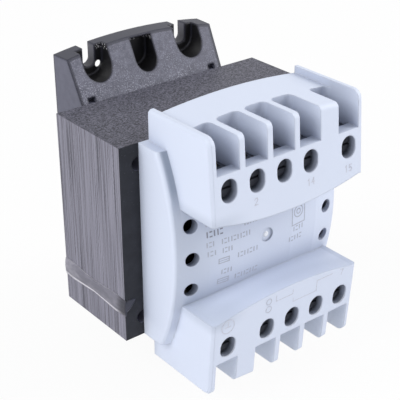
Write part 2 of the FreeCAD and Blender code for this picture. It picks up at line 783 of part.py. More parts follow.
def make_base():
    base = new_body("mounting_base")
    depth = cell("base_depth")
    half_back = cell("base_width") / 2
    half_front = half_back - slope(cell("base_draft")) * depth
    top = cell("ear_top")
    beyond = 2 * top
    plan = [(-half_back, 0), (-half_front, -depth), (half_front, -depth), (half_back, 0)]
    pad(base, "Slab", plan_view(base, "SlabPlan", 0, [plan]), 2 * top, both=True)
    foot = cell("ear_foot")
    edge = cell("ear_edge")
    for name, side in (("Upper", 1), ("Lower", -1)):
        lean = [
            (-depth, side * foot),
            (-edge, side * top),
            (-edge, side * beyond),
            (-beyond, side * beyond),
            (-beyond, side * foot),
        ]
        cut(base, f"{name}Lean", side_view(base, f"{name}LeanProfile", 0, [lean]), both=True)
        fall = arc_height(cell("ear_arch"), half_back)
        arch = [
            (-half_back, side * (top - fall), -side * cell("ear_arch")),
            (half_back, side * (top - fall)),
            (half_back, side * beyond),
            (-half_back, side * beyond),
        ]
        cut(base, f"{name}Arch", front_view(base, f"{name}ArchOutline", 0, [arch]), both=True)

    wall = cell("ear_wall")
    pocket_z = cell("pocket_height")
    for name, side in (("Upper", 1), ("Lower", -1)):
        pockets = []
        slots = []
        for x in (-cell("pocket_side"), cell("pocket_side")):
            pockets.append(u_shape(x, pocket_z, cell("pocket_radius"), beyond, side))
            slots.append(u_shape(x, pocket_z, cell("slot_width") / 2, beyond, side))
        cut(base, f"{name}Pockets", front_view(base, f"{name}PocketOutlines", -wall, pockets), along=True)
        cut(base, f"{name}Slots", front_view(base, f"{name}SlotOutlines", -wall, slots))

    skin_line = top - cell("middle_skin")
    middle_foot = cell("middle_foot") + cell("middle_radius")
    middle = u_shape(sized(0), middle_foot, cell("middle_radius"), skin_line, 1)
    cut(base, "MiddlePocket", front_view(base, "MiddleOutline", -wall, [middle]), along=True)
    sight_x = cell("pocket_side") - cell("sight_inset")
    sight_z = pocket_z - cell("sight_drop")
    half_recess = cell("sight_recess") / 2
    sights = []
    sight_recesses = []
    for side in (-1, 1):
        sights.append(("circle", side * sight_x, sight_z, cell("sight_diameter") / 2))
        x = side * (sight_x + cell("sight_skin") - half_recess)
        z = sight_z - half_recess / 2
        sight_recesses.append(rectangle(x - half_recess, x + half_recess, z - half_recess, z + half_recess))
    cut(base, "SightHoles", front_view(base, "SightOutlines", 0, sights), wall, along=True)
    cut(base, "SightRecesses", front_view(base, "SightRecessOutlines", 0, sight_recesses),
        wall - cell("sight_skin"), along=True)
    notch_back = -depth + (cell("notch_top") - foot) * (depth - edge) / (top - foot) + cell("notch_depth")
    half_notch = cell("notch_width") / 2
    notches = []
    for side in (-1, 1):
        x = side * cell("notch_side")
        notches.append(rectangle(x - half_notch, x + half_notch,
                                 cell("notch_top") - cell("notch_depth"), cell("notch_top")))
    cut(base, "Notches", front_view(base, "NotchOutlines", notch_back, notches), along=True)

    coil_x = 2 * limb
    coil_z = window_half_height + gap
    bay = rectangle(-coil_x, coil_x, -coil_z, coil_z)
    bay_floor = -cell("rail_recess") - cell("base_floor")
    cut(base, "CoilBay", front_view(base, "BayOutline", bay_floor, [bay]), along=True)

    width = cell("core_out")
    step = width + cell("cover_wall")
    recess_low = coil_z + cell("cover_wall")
    recess_high = recess_low + width
    upper_recesses = []
    lower_recesses = []
    for number in (-2, -1, 0, 1, 2):
        x = number * step
        upper_recesses.append(rectangle(x - width / 2, x + width / 2, recess_low, recess_high))
        if number != 0:
            lower_recesses.append(rectangle(x - width / 2, x + width / 2, -recess_high, -recess_low))
    cut(base, "UpperRecesses", front_view(base, "UpperRecessOutlines", bay_floor, upper_recesses), along=True)
    cut(base, "LowerRecesses", front_view(base, "LowerRecessOutlines", bay_floor, lower_recesses), along=True)

    channel_edge = cell("rail_height") / 2 + cell("rail_play")
    hook = cell("rail_height") / 2 - cell("rail_grip")
    channel = [
        (depth, -channel_edge),
        (depth, hook),
        (-cell("rail_lip"), hook),
        (-cell("rail_lip"), channel_edge),
        (-cell("rail_recess"), channel_edge),
        (-cell("rail_recess"), -channel_edge),
    ]
    cut(base, "RailChannel", side_view(base, "ChannelProfile", 0, [channel]), both=True)

    running = cell("latch_gap")
    narrow = cell("latch_width") / 2 + running
    wide = narrow + cell("latch_wing")
    shoulder = channel_edge + cell("latch_shoulder")
    guide = rectangle(-narrow, narrow, -beyond, -channel_edge)
    cut(base, "LatchSlot", front_view(base, "LatchSlotOutline", 0, [guide]),
        cell("rail_lip") + running, along=True)
    wings = rectangle(-wide, wide, -beyond, -shoulder)
    cut(base, "LatchGuide", front_view(base, "LatchGuideOutline", -cell("latch_skin"), [wings]),
        cell("rail_recess") - cell("latch_skin"), along=True)
    spring_half = cell("spring_diameter") / 2 + gap
    spring_low = cell("spring_top") + cell("spring_length") + thin_gap
    spring_high = cell("spring_top") - cell("latch_tab") - gap
    nest = rectangle(-spring_half, spring_half, -spring_low, -spring_high)
    cut(base, "SpringNest", front_view(base, "NestOutline", -cell("rail_recess"), [nest]),
        2 * spring_half, along=True)


def make_latch():
    """The sliding latch, with its lip over the rail, its wings, its spring tab and its tail."""
    running = cell("latch_gap")
    half = cell("latch_width") / 2
    wing_half = half + cell("latch_wing")
    channel_edge = cell("rail_height") / 2 + cell("rail_play")
    lip_end = cell("rail_height") / 2 - cell("rail_grip")
    shoulder = channel_edge + cell("latch_shoulder") + running
    tail_end = cell("ear_top") + cell("latch_tail")
    latch = new_body("rail_latch")
    face = rectangle(-half, half, -tail_end, -lip_end)
    pad(latch, "Tongue", front_view(latch, "TongueOutline", -running, [face]), cell("rail_lip") - running)
    wings = rectangle(-wing_half, wing_half, -cell("ear_top") + cell("latch_tail"), -shoulder)
    pad(latch, "Wings", front_view(latch, "WingOutline", -cell("latch_skin") - running, [wings]),
        cell("rail_recess") - cell("latch_skin") - 2 * running)
    half_tab = cell("spring_diameter") / 2
    tab_low = cell("spring_top")
    tab = rectangle(-half_tab, half_tab, -tab_low, -tab_low + cell("latch_tab"))
    pad(latch, "SpringTab", front_view(latch, "TabOutline", -cell("latch_skin") - running, [tab]),
        cell("rail_recess") - cell("latch_skin") - running + cell("spring_diameter") + gap)
    half_pull = cell("pull_width") / 2
    pull_low = tail_end - cell("end_wall")
    pull = rectangle(-half_pull, half_pull, -pull_low, -pull_low + cell("pull_slot"))
    cut(latch, "PullSlot", front_view(latch, "PullOutline", 0, [pull]), both=True)


def make_spring():
    """A six-sided wire wound in short straight runs; one closed body from end to end."""
    wire = cell("spring_wire").value / 2
    coil = cell("spring_diameter").value / 2 - wire
    turns = cell("spring_turns").value
    low = -cell("spring_top") - cell("spring_length") + wire
    middle_y = -cell("rail_recess") - cell("spring_diameter") / 2 - gap
    height = cell("spring_length").value - 2 * wire
    runs = round(SPRING_RUNS * turns)
    sections = []
    for number in range(runs + 1):
        turn = 360 * turns * number / runs
        outwards = FreeCAD.Rotation(UP, turn).multVec(FreeCAD.Vector(1, 0, 0))
        centre = outwards * coil + UP * (height * number / runs)
        tangent = UP.cross(outwards)
        corners = []
        for corner in range(WIRE_SIDES + 1):
            around = FreeCAD.Rotation(tangent, 360 * corner / WIRE_SIDES)
            corners.append(centre + around.multVec(outwards) * wire)
        sections.append(Part.makePolygon(corners))
    spring = doc.addObject("Part::Feature", "LatchSpring")
    spring.Shape = Part.makeLoft(sections, True, True)
    spring.Placement.Base = FreeCAD.Vector(0, middle_y.value, low.value)
    keep("latch_spring", spring)


def seat(item, x, lower):
    """Puts a piece of a terminal at its place; the lower row is the upper one turned half a turn."""
    if lower:
        item.Placement.Rotation = FreeCAD.Rotation(FreeCAD.Vector(0, 1, 0), 180)
        bind(item, "Placement.Base.x", -x)
    else:
        bind(item, "Placement.Base.x", x)


def make_terminals():
    """Each terminal has a clamp cage, a contact strip whose tail goes to the coil, and a screw."""
    cage_half = half_terminal - gap
    inner_half = cage_half - cell("cage_side")
    wall = cell("cage_wall")
    well_front = core_front - cell("ledge_reach")
    well_back = core_front - cell("compartment_back")
    head_front = front_at(cell("screw_height")) + cell("head_depth")
    head_back = well_front + cell("head_seat")
    cage_front = head_back + thin_gap
    cage_back = well_back - 2 * gap
    screw_z = cell("screw_height")
    low = screw_z - cell("cage_height") / 2
    high = screw_z + cell("cage_height") / 2
    strip = cell("strip")
    strip_front = cage_front + wall + 2 * cell("strip")
    half_strip = cell("strip_width") / 2
    tail_z = cell("strip_height")
    former_edge = core_front - cell("former_overhang")
    half_slot = cell("head_slot") / 2

    for row, lower in (("upper", False), ("lower", True)):
        screws = []
        order = list(reversed(TERMINALS)) if lower else TERMINALS
        for number, x in enumerate(order, 1):
            tag = f"{row.title()}{number}"
            outside = box(f"CageBlock{tag}", -cage_half, cage_half, cage_front, cage_back, low, high)
            window = box(f"CageWindow{tag}", -inner_half, inner_half, cage_front + wall, cage_back - wall,
                         low - wall, high + wall)
            tapped = prism(f"CageThread{tag}", 0, screw_z, cage_front - wall, cage_front + 2 * wall,
                           cell("screw_diameter") / 2 + thin_gap, SHANK_SIDES)
            cage = take(f"Cage{tag}", outside, join(f"CageTools{tag}", [window, tapped]))
            seat(cage, x, lower)
            keep(f"{row}_clamp_{number}", cage)

            leg = box(f"StripLeg{tag}", -inner_half + thin_gap, inner_half - thin_gap,
                      strip_front, strip_front + strip, tail_z, high + gap)
            tail = box(f"StripTail{tag}", -half_strip, half_strip, strip_front, former_edge - gap,
                       tail_z, tail_z + strip)
            contact = join(f"Contact{tag}", [leg, tail])
            seat(contact, x, lower)
            keep(f"{row}_contact_{number}", contact)

            head = prism(f"ScrewHead{tag}", 0, screw_z, head_front, head_back,
                         cell("head_diameter") / 2, HEAD_SIDES)
            shank = prism(f"ScrewShank{tag}", 0, screw_z, head_back - half_slot, strip_front - thin_gap,
                          cell("screw_diameter") / 2, SHANK_SIDES)
            driver_slot = box(f"ScrewSlot{tag}", -cell("head_diameter"), cell("head_diameter"),
                              head_front - strip, head_front + 2 * half_slot,
                              screw_z - half_slot, screw_z + half_slot)
            screw = take(f"Screw{tag}", join(f"ScrewBlank{tag}", [head, shank]), driver_slot)
            seat(screw, x, lower)
            screws.append(screw)
        group = doc.addObject("Part::Compound", f"{row.title()}Screws")
        group.Links = screws
        keep(f"{row}_terminal_screws", group)

    strap_half = half_strip
    strap_x = -outer_terminal
    under = -tail_z - strip - thin_gap
    bridge = box("StrapBridge", strap_x - strap_half, strap_x + strap_half,
                 former_edge - 2 * half_slot - strip, core_front, under - strip, under)
    plate = box("StrapPlate", strap_x - strap_half, strap_x + strap_half,
                core_front - strip, core_front, under - cell("strap_length"), under)
    keep("earth_strap", join("EarthStrap", [bridge, plate]))


def check_and_write():
    doc.recompute()
    failed = [item.Name for item in doc.Objects if {"Invalid", "Error"} & set(item.State)]
    if failed:
        raise RuntimeError(f"failed: {failed}")
    os.makedirs("parts", exist_ok=True)
    for label, item in pieces.items():
        shape = item.Shape
        if shape.isNull() or not shape.isValid():
            raise RuntimeError(f"{label} is not a valid shape")
    for label, item in pieces.items():
        item.Shape.exportStep(f"parts/{label}.step")
        print(f"{label}: {len(item.Shape.Solids)} solid, {item.Shape.Volume:.0f} mm3")


make_core()
make_weld_beads()
make_coil()
make_cover()
make_base()
make_latch()
make_spring()
make_terminals()
check_and_write()
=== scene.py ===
import json
import math

import bmesh
import bpy
from mathutils import Matrix, Vector
from mathutils.bvhtree import BVHTree


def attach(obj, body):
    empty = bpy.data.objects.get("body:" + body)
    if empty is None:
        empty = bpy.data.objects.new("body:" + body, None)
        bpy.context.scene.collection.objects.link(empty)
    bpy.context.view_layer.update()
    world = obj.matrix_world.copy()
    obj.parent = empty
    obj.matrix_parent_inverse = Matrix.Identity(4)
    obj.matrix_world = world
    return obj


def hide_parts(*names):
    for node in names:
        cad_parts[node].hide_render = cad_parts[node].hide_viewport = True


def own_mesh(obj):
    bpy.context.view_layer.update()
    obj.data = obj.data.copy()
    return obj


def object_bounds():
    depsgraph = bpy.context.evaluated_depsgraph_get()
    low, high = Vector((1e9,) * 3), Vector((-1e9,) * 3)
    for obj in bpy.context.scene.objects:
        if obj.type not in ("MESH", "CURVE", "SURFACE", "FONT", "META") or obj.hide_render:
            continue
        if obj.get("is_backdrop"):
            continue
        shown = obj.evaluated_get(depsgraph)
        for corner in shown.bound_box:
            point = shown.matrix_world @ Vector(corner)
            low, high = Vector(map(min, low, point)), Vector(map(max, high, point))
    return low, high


# Din rail transformer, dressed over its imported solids.
# Metres in the frame of the solids: X to the right, Y from front to back, Z up.
# The origin is the centre of the rear mounting face.

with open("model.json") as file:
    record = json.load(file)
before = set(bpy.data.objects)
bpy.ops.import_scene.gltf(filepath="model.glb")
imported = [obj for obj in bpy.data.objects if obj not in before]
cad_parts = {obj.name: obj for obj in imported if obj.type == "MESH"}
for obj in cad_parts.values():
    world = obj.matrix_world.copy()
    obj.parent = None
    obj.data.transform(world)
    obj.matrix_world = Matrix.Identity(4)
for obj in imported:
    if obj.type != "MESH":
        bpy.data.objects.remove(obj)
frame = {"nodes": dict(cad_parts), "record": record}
lowest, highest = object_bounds()
solids_box = [list(lowest), list(highest)]
nodes = frame["nodes"]
MM = 0.001
BLACK = (0.0, 0.0, 0.0, 1.0)
WHITE = (1.0, 1.0, 1.0, 1.0)


def linear(red, green, blue):
    """A colour as the eye reads it, 0 to 255, turned into the linear values that shaders take."""
    parts = []
    for channel in (red, green, blue):
        share = channel / 255
        parts.append(share / 12.92 if share <= 0.04045 else ((share + 0.055) / 1.055) ** 2.4)
    return (*parts, 1.0)


def toned(colour, factor):
    """The colour made darker or lighter by a factor."""
    return tuple(part * factor for part in colour[:3]) + (1.0,)


# ---------------------------------------------------------------- node helpers

class Net:
    """A node tree with short ways to add the nodes that these finishes are made of."""

    def __init__(self, tree):
        self.tree = tree

    def feed(self, socket, value):
        """Links the socket where value is an output, and otherwise sets it."""
        if isinstance(value, bpy.types.NodeSocket):
            self.tree.links.new(value, socket)
        else:
            socket.default_value = value

    def fill(self, node, **inputs):
        """Feeds a node's inputs by their names, with _ for each space."""
        for name, value in inputs.items():
            self.feed(node.inputs[name.replace("_", " ")], value)
        return node

    def put(self, kind, settings=None, **inputs):
        """A new node, with its settings and inputs."""
        node = self.tree.nodes.new(kind)
        for name, value in (settings or {}).items():
            setattr(node, name, value)
        return self.fill(node, **inputs)

    def maths(self, operation, first, second=0.0, clamp=False):
        node = self.put("ShaderNodeMath", {"operation": operation, "use_clamp": clamp})
        self.feed(node.inputs[0], first)
        self.feed(node.inputs[1], second)
        return node.outputs[0]

    def vectors(self, operation, first, second):
        node = self.put("ShaderNodeVectorMath", {"operation": operation})
        self.feed(node.inputs[0], first)
        self.feed(node.inputs[1], second)
        return node.outputs

    def size(self, value):
        return self.maths("ABSOLUTE", value)

    def plus(self, first, second):
        return self.maths("ADD", first, second)

    def minus(self, first, second):
        return self.maths("SUBTRACT", first, second)

    def larger(self, first, second):
        return self.maths("MAXIMUM", first, second)

    def times(self, *factors):
        """The product of all factors: of masks, 1 where every one of them is 1."""
        product = factors[0]
        for factor in factors[1:]:
            product = self.maths("MULTIPLY", product, factor)
        return product

    def ease(self, value, low, high, start=0.0, end=1.0):
        """A smooth step from start to end as value goes from low to high."""
        node = self.put("ShaderNodeMapRange", {"interpolation_type": "SMOOTHSTEP"})
        for socket, number in zip(node.inputs, (value, low, high, start, end)):
            self.feed(socket, number)
        return node.outputs[0]

    def above(self, value, limit, blur):
        """0 up to the limit, and 1 from blur past it."""
        return self.ease(value, limit, limit + blur)

    def below(self, value, limit, blur):
        """0 from the limit on, and 1 up to blur before it."""
        return self.ease(value, limit, limit - blur)

    def between(self, value, low, high, blur):
        return self.times(self.above(value, low, blur), self.below(value, high, blur))

    def colours(self, share, first, second, way="MIX"):
        """From the first colour to the second as share goes from 0 to 1."""
        node = self.put("ShaderNodeMix", {"data_type": "RGBA", "blend_type": way})
        # Sockets of the same name follow one another, one for each type; these are the colours.
        for place, value in ((0, share), (6, first), (7, second)):
            self.feed(node.inputs[place], value)
        return node.outputs[2]

    def stretched(self, place, scales):
        return self.vectors("MULTIPLY", place, scales)["Vector"]

    def noise(self, place, scale, detail=2.0, roughness=0.5):
        return self.put("ShaderNodeTexNoise", Vector=place, Scale=scale, Detail=detail,
                        Roughness=roughness).outputs["Fac"]

    def apart(self, vector):
        """The three parts of a vector."""
        return self.put("ShaderNodeSeparateXYZ", Vector=vector).outputs

    def where(self):
        """The place and the normal of the shaded point, in the frame of the part."""
        coordinates = self.put("ShaderNodeTexCoord").outputs
        return coordinates["Object"], coordinates["Normal"]


def new_group(name, inputs, outputs):
    """An empty node group, as a net with its inner inputs and outputs."""
    tree = bpy.data.node_groups.new(name, "ShaderNodeTree")
    for label, value in inputs:
        kind = "NodeSocketColor" if isinstance(value, tuple) else "NodeSocketFloat"
        tree.interface.new_socket(label, in_out="INPUT", socket_type=kind).default_value = value
    for label, kind in outputs:
        tree.interface.new_socket(label, in_out="OUTPUT", socket_type=kind)
    net = Net(tree)
    return net, net.put("NodeGroupInput").outputs, net.put("NodeGroupOutput").inputs


def make_moulded_skin():
    """The skin of a moulding: slow changes of tone, and the fine grain of the tool."""
    net, given, out = new_group(
        "MouldedSkin",
        [("Grain Size", 0.3 * MM), ("Cloud Size", 20 * MM), ("Tone", WHITE), ("Tone Change", 0.04)],
        [("Color", "NodeSocketColor"), ("Height", "NodeSocketFloat")],
    )
    place, _ = net.where()
    cloud = net.noise(place, net.maths("DIVIDE", 1.0, given["Cloud Size"]), 3.0)
    grain = net.noise(place, net.maths("DIVIDE", 1.0, given["Grain Size"]), 1.0)
    light = net.plus(1.0, net.times(net.minus(cloud, 0.5), given["Tone Change"], 2.0))
    grey = net.put("ShaderNodeCombineColor", Red=light, Green=light, Blue=light).outputs[0]
    net.feed(out["Color"], net.colours(1.0, given["Tone"], grey, "MULTIPLY"))
    net.feed(out["Height"], grain)
    return net.tree


def make_soft_edges():
    """Rounds the look of the edges, and finds them: 0 on a flat face, 1 on a sharp edge."""
    net, given, out = new_group(
        "SoftEdges",
        [("Radius", 0.4 * MM), ("Reach", 0.25)],
        [("Normal", "NodeSocketVector"), ("Edge", "NodeSocketFloat")],
    )
    round_normal = net.put("ShaderNodeBevel", {"samples": 6}, Radius=given["Radius"]).outputs[0]
    flat_normal = net.put("ShaderNodeNewGeometry").outputs["Normal"]
    alike = net.vectors("DOT_PRODUCT", round_normal, flat_normal)["Value"]
    net.feed(out["Edge"], net.ease(net.minus(1.0, alike), 0.0, given["Reach"]))
    net.feed(out["Normal"], round_normal)
    return net.tree


def make_facing():
    """Which way a face looks: to the side, to the front or back, or up and down."""
    labels = ("Side", "Front", "Top")
    net, _, out = new_group("Facing", [], [(label, "NodeSocketFloat") for label in labels])
    _, normal = net.where()
    for label, part in zip(labels, net.apart(normal)):
        net.feed(out[label], net.ease(net.size(part), 0.6, 0.75))
    return net.tree


def make_sheet_edges():
    """The edges of stacked sheets: fine lines square to the stack, wider bands and open gaps."""
    net, given, out = new_group(
        "SheetEdges",
        [("Along", 25.0), ("Line Size", 0.5 * MM), ("Band Size", 4 * MM), ("Gap Size", 1.6 * MM),
         ("Ragged", 0.5 * MM)],
        [("Lines", "NodeSocketFloat"), ("Bands", "NodeSocketFloat"), ("Gaps", "NodeSocketFloat")],
    )
    place, _ = net.where()
    x, y, z = net.apart(place)
    along_x = net.times(x, given["Along"])
    along_z = net.times(z, given["Along"])
    wandering = net.plus(y, net.times(net.noise(place, 900.0, 1.0), given["Ragged"]))

    def lined(size, detail, roughness=0.5):
        across = net.maths("DIVIDE", wandering, size)
        line_place = net.put("ShaderNodeCombineXYZ", X=along_x, Y=across, Z=along_z).outputs[0]
        return net.noise(line_place, 1.0, detail, roughness)

    net.feed(out["Lines"], lined(given["Line Size"], 2.0, 0.7))
    net.feed(out["Bands"], lined(given["Band Size"], 1.0))
    net.feed(out["Gaps"], net.ease(lined(given["Gap Size"], 0.0), 0.72, 0.80))
    return net.tree


def make_recess():
    """How closed in a place is: 0 in the open, towards 1 at the foot of a narrow pocket."""
    net, given, out = new_group("Recess", [("Reach", 10 * MM)], [("Depth", "NodeSocketFloat")])
    around = net.put("ShaderNodeAmbientOcclusion", {"samples": 8}, Distance=given["Reach"])
    net.feed(out["Depth"], net.maths("SUBTRACT", 1.0, around.outputs["AO"], clamp=True))
    return net.tree


moulded_skin = make_moulded_skin()
recess = make_recess()
soft_edges = make_soft_edges()
facing = make_facing()
sheet_edges = make_sheet_edges()


def effect(net, tree, **inputs):
    return net.put("ShaderNodeGroup", {"node_tree": tree}, **inputs).outputs


def bumped(net, height, depth, **inputs):
    return net.put("ShaderNodeBump", Height=height, Distance=depth, **inputs).outputs[0]


def finish(name):
    """An empty material with its shader and output joined."""
    material = bpy.data.materials.new(name)
    material.use_nodes = True
    material.node_tree.nodes.clear()
    net = Net(material.node_tree)
    shader = net.put("ShaderNodeBsdfPrincipled")
    net.put("ShaderNodeOutputMaterial", Surface=shader.outputs[0])
    return material, net, shader


# ---------------------------------------------------------- the cover's finish

VENT_SIDE = 26.75 * MM
VENT_PITCH = 10.6 * MM
VENT_RADIUS = 2.2 * MM
VENTS_END = 14.0 * MM

HOLES_SIDE = 28.0 * MM
HOLES_LOW = 21.5 * MM
HOLES_HIGH = 29.8 * MM
HOLES_DEPTH = 6.6 * MM

BLOCK_SIDE = 29.05 * MM
SHELL_SIDE = 32.1 * MM
STRIP_FOOT = 11.5 * MM
STRIP_FADE = 12.0 * MM

MARGIN_START = -14.0 * MM
MARGIN_FULL = -28.0 * MM
MARGIN_HALF_HEIGHT = 20.0 * MM

LOWER_FACE_TOP = -12.0 * MM
LOWER_FACE_FOOT = -18.0 * MM
LOWER_FACE_MIDDLE = -71.5 * MM
LOWER_FACE_LEFT = -29.5 * MM
LOWER_WELLS = -24.0 * MM

FRONT_AT_MID_HEIGHT = -81.4 * MM
FRONT_LEAN = 0.0769


def in_vents(net, x, z):
    """The walls of the round vents down both margins of the panel."""
    from_side = net.minus(net.size(x), VENT_SIDE)
    nearest = net.times(net.maths("ROUND", net.maths("DIVIDE", z, VENT_PITCH)), VENT_PITCH)
    from_level = net.minus(z, nearest)
    squares = net.plus(net.maths("POWER", from_side, 2.0), net.maths("POWER", from_level, 2.0))
    within = net.ease(net.maths("SQRT", squares), VENT_RADIUS + 0.12 * MM, VENT_RADIUS)
    return net.times(within, net.below(net.size(z), VENTS_END, 0.5 * MM))


def in_driver_holes(net, x, z, depth):
    """The walls of the screwdriver holes, where depth is measured from the blocks' front."""
    return net.times(
        net.above(depth, 0.3 * MM, 0.3 * MM),
        net.below(depth, HOLES_DEPTH, 0.2 * MM),
        net.below(net.size(x), HOLES_SIDE, 0.5 * MM),
        net.between(net.size(z), HOLES_LOW, HOLES_HIGH, 0.2 * MM))


def beside_upper_block(net, x, z, normal_z):
    """The strips between the side walls and the upper block, but not their tops: where the block's
    painted shadow goes.
    """
    return net.times(
        net.above(net.size(x), BLOCK_SIDE + 0.03 * MM, 0.17 * MM),
        net.below(net.size(x), SHELL_SIDE, 1.7 * MM),
        net.above(z, STRIP_FOOT, STRIP_FADE),
        net.below(normal_z, 0.75, 0.2))


def on_left_margin(net, x, z):
    """The panel's left margin, which takes a third of its painted shade at most."""
    return net.times(
        net.ease(x, MARGIN_START, MARGIN_FULL, 0.0, 0.32),
        net.above(x, -SHELL_SIDE, 0.9 * MM),
        net.below(net.size(z), MARGIN_HALF_HEIGHT, 4.0 * MM))


def on_lower_face(net, x, y, z, normal_z):
    """The front half of the lower block's upper face, fading towards its left end."""
    return net.times(
        net.below(z, LOWER_FACE_TOP, 0.6 * MM),
        net.above(z, LOWER_FACE_FOOT, 0.8 * MM),
        net.above(normal_z, 0.35, 0.25),
        net.below(y, LOWER_FACE_MIDDLE, 5.0 * MM),
        net.above(x, LOWER_FACE_LEFT, 10.5 * MM))


def cover_plastic():
    """Pale blue-grey satin moulding, with painted shade where it is closed in and at the places
    masked above, painted light in the lower wells and on the right vents, and painted highlights on
    its edges.
    """
    material, net, shader = finish("CoverPlastic")
    skin = effect(net, moulded_skin, Grain_Size=0.35 * MM, Cloud_Size=30 * MM,
                  Tone=linear(214, 222, 240), Tone_Change=0.02)
    wide = effect(net, recess, Reach=22 * MM)
    tight = effect(net, recess, Reach=5 * MM)
    edges = effect(net, soft_edges, Radius=0.6 * MM, Reach=0.3)
    place, normal = net.where()
    x, y, z = net.apart(place)
    _, _, normal_z = net.apart(normal)

    # Painted shade in closed-in places, from how closed in they are; in the lower wells the tone is
    # painted light instead, lighter than the moulding.
    lower_wells = net.below(z, LOWER_WELLS, 4.5 * MM)
    shade_tone = net.colours(lower_wells, linear(132, 140, 160), linear(240, 246, 255))
    shade = net.ease(wide["Depth"], 0.06, 0.85, 0.0, 0.65)
    colour = net.colours(shade, skin["Color"], shade_tone)
    # Painted shade at the foot of narrow pockets and holes.
    deep_shade = net.ease(tight["Depth"], 0.55, 0.85, 0.0, 0.8)
    colour = net.colours(deep_shade, colour, linear(66, 72, 88))

    # Painted shade in the vent walls, darker in the left vents; the right vents' lighter walls are
    # painted light.
    to_right = net.ease(x, -10.0 * MM, 10.0 * MM)
    vent_tone = net.colours(to_right, linear(112, 118, 136), linear(190, 197, 216))
    colour = net.colours(net.times(in_vents(net, x, z), 0.9), colour, vent_tone)

    # Painted shade in the screwdriver holes, darker further in.
    leaned_back = net.times(net.size(z), FRONT_LEAN)
    depth = net.minus(net.minus(y, FRONT_AT_MID_HEIGHT), leaned_back)
    inwards = net.ease(depth, 1.2 * MM, 3.0 * MM)
    hole_tone = net.colours(inwards, linear(158, 165, 182), linear(94, 100, 112))
    colour = net.colours(in_driver_holes(net, x, z, depth), colour, hole_tone)

    # Painted shadow of the upper block on the strips beside it.
    colour = net.colours(beside_upper_block(net, x, z, normal_z), colour, linear(144, 154, 172))
    # Painted shade on the panel's left margin.
    colour = net.colours(on_left_margin(net, x, z), colour, linear(150, 160, 178))
    # Painted shade on the front half of the lower block's upper face.
    dimmer = (0.87, 0.878, 0.892, 1.0)
    colour = net.colours(on_lower_face(net, x, y, z, normal_z), colour, dimmer, "MULTIPLY")
    # Painted highlight: the eased edges are a little lighter.
    colour = net.colours(net.times(edges["Edge"], 0.25), colour, linear(226, 232, 246))

    net.fill(shader, Base_Color=colour, Roughness=0.5, Specular_IOR_Level=0.35,
             Normal=bumped(net, skin["Height"], 0.008 * MM, Normal=edges["Normal"]))
    return material


# ------------------------------------------------------ the core and its beads

CORE_FRONT = -50.0 * MM


def core_steel():
    """Varnished stack of sheets: near-black flat faces, lined sides lighter partly as painted
    light, a darker, grained top, and painted light in deep holes.
    """
    material, net, shader = finish("CoreSteel")
    face = effect(net, facing)
    side = effect(net, sheet_edges, Along=22.0, Line_Size=0.36 * MM, Band_Size=5 * MM)
    top = effect(net, sheet_edges, Along=1200.0, Band_Size=6 * MM)
    inside = effect(net, recess, Reach=6 * MM)
    edges = effect(net, soft_edges, Radius=0.2 * MM)
    place, _ = net.where()

    # The lined sides are set lighter than the top partly as painted light.
    lines = net.ease(side["Lines"], 0.32, 0.6)
    side_tone = net.colours(lines, linear(72, 71, 82), linear(140, 139, 153))
    bands = net.ease(side["Bands"], 0.3, 0.7, 0.0, 0.25)
    side_tone = net.colours(bands, side_tone, linear(110, 109, 121))
    side_tone = net.colours(net.times(side["Gaps"], 0.6), side_tone, linear(56, 55, 66))

    grain = net.noise(net.stretched(place, (1.0, 1.7, 1.0)), 1650.0, 2.0, 0.6)
    top_tone = net.colours(net.ease(grain, 0.38, 0.64), linear(38, 38, 48), linear(110, 110, 124))
    top_bands = net.ease(top["Bands"], 0.35, 0.65, 0.0, 0.2)
    top_tone = net.colours(top_bands, top_tone, linear(62, 62, 72))

    soot = net.noise(place, 220.0, 3.0, 0.6)
    dust = net.ease(net.noise(place, 1700.0, 1.0), 0.70, 0.76, 0.0, 0.5)
    front_tone = net.colours(net.ease(soot, 0.35, 0.75), linear(22, 23, 30), linear(33, 34, 42))
    front_tone = net.colours(dust, front_tone, linear(84, 85, 96))

    colour = net.colours(face["Top"], front_tone, top_tone)
    colour = net.colours(face["Side"], colour, side_tone)
    # Painted light: deep, closed-in places such as the holes in the front get a lighter tone.
    colour = net.colours(net.ease(inside["Depth"], 0.55, 0.85), colour, linear(120, 121, 138))
    roughness = net.plus(net.times(face["Front"], -0.12), 0.55)
    on_edges = net.maths("SUBTRACT", 1.0, face["Front"], clamp=True)
    height = net.times(net.minus(side["Lines"], side["Gaps"]), on_edges)
    net.fill(shader, Base_Color=colour, Roughness=roughness, Specular_IOR_Level=0.4,
             Normal=bumped(net, height, 0.04 * MM, Normal=edges["Normal"], Strength=0.7))
    return material


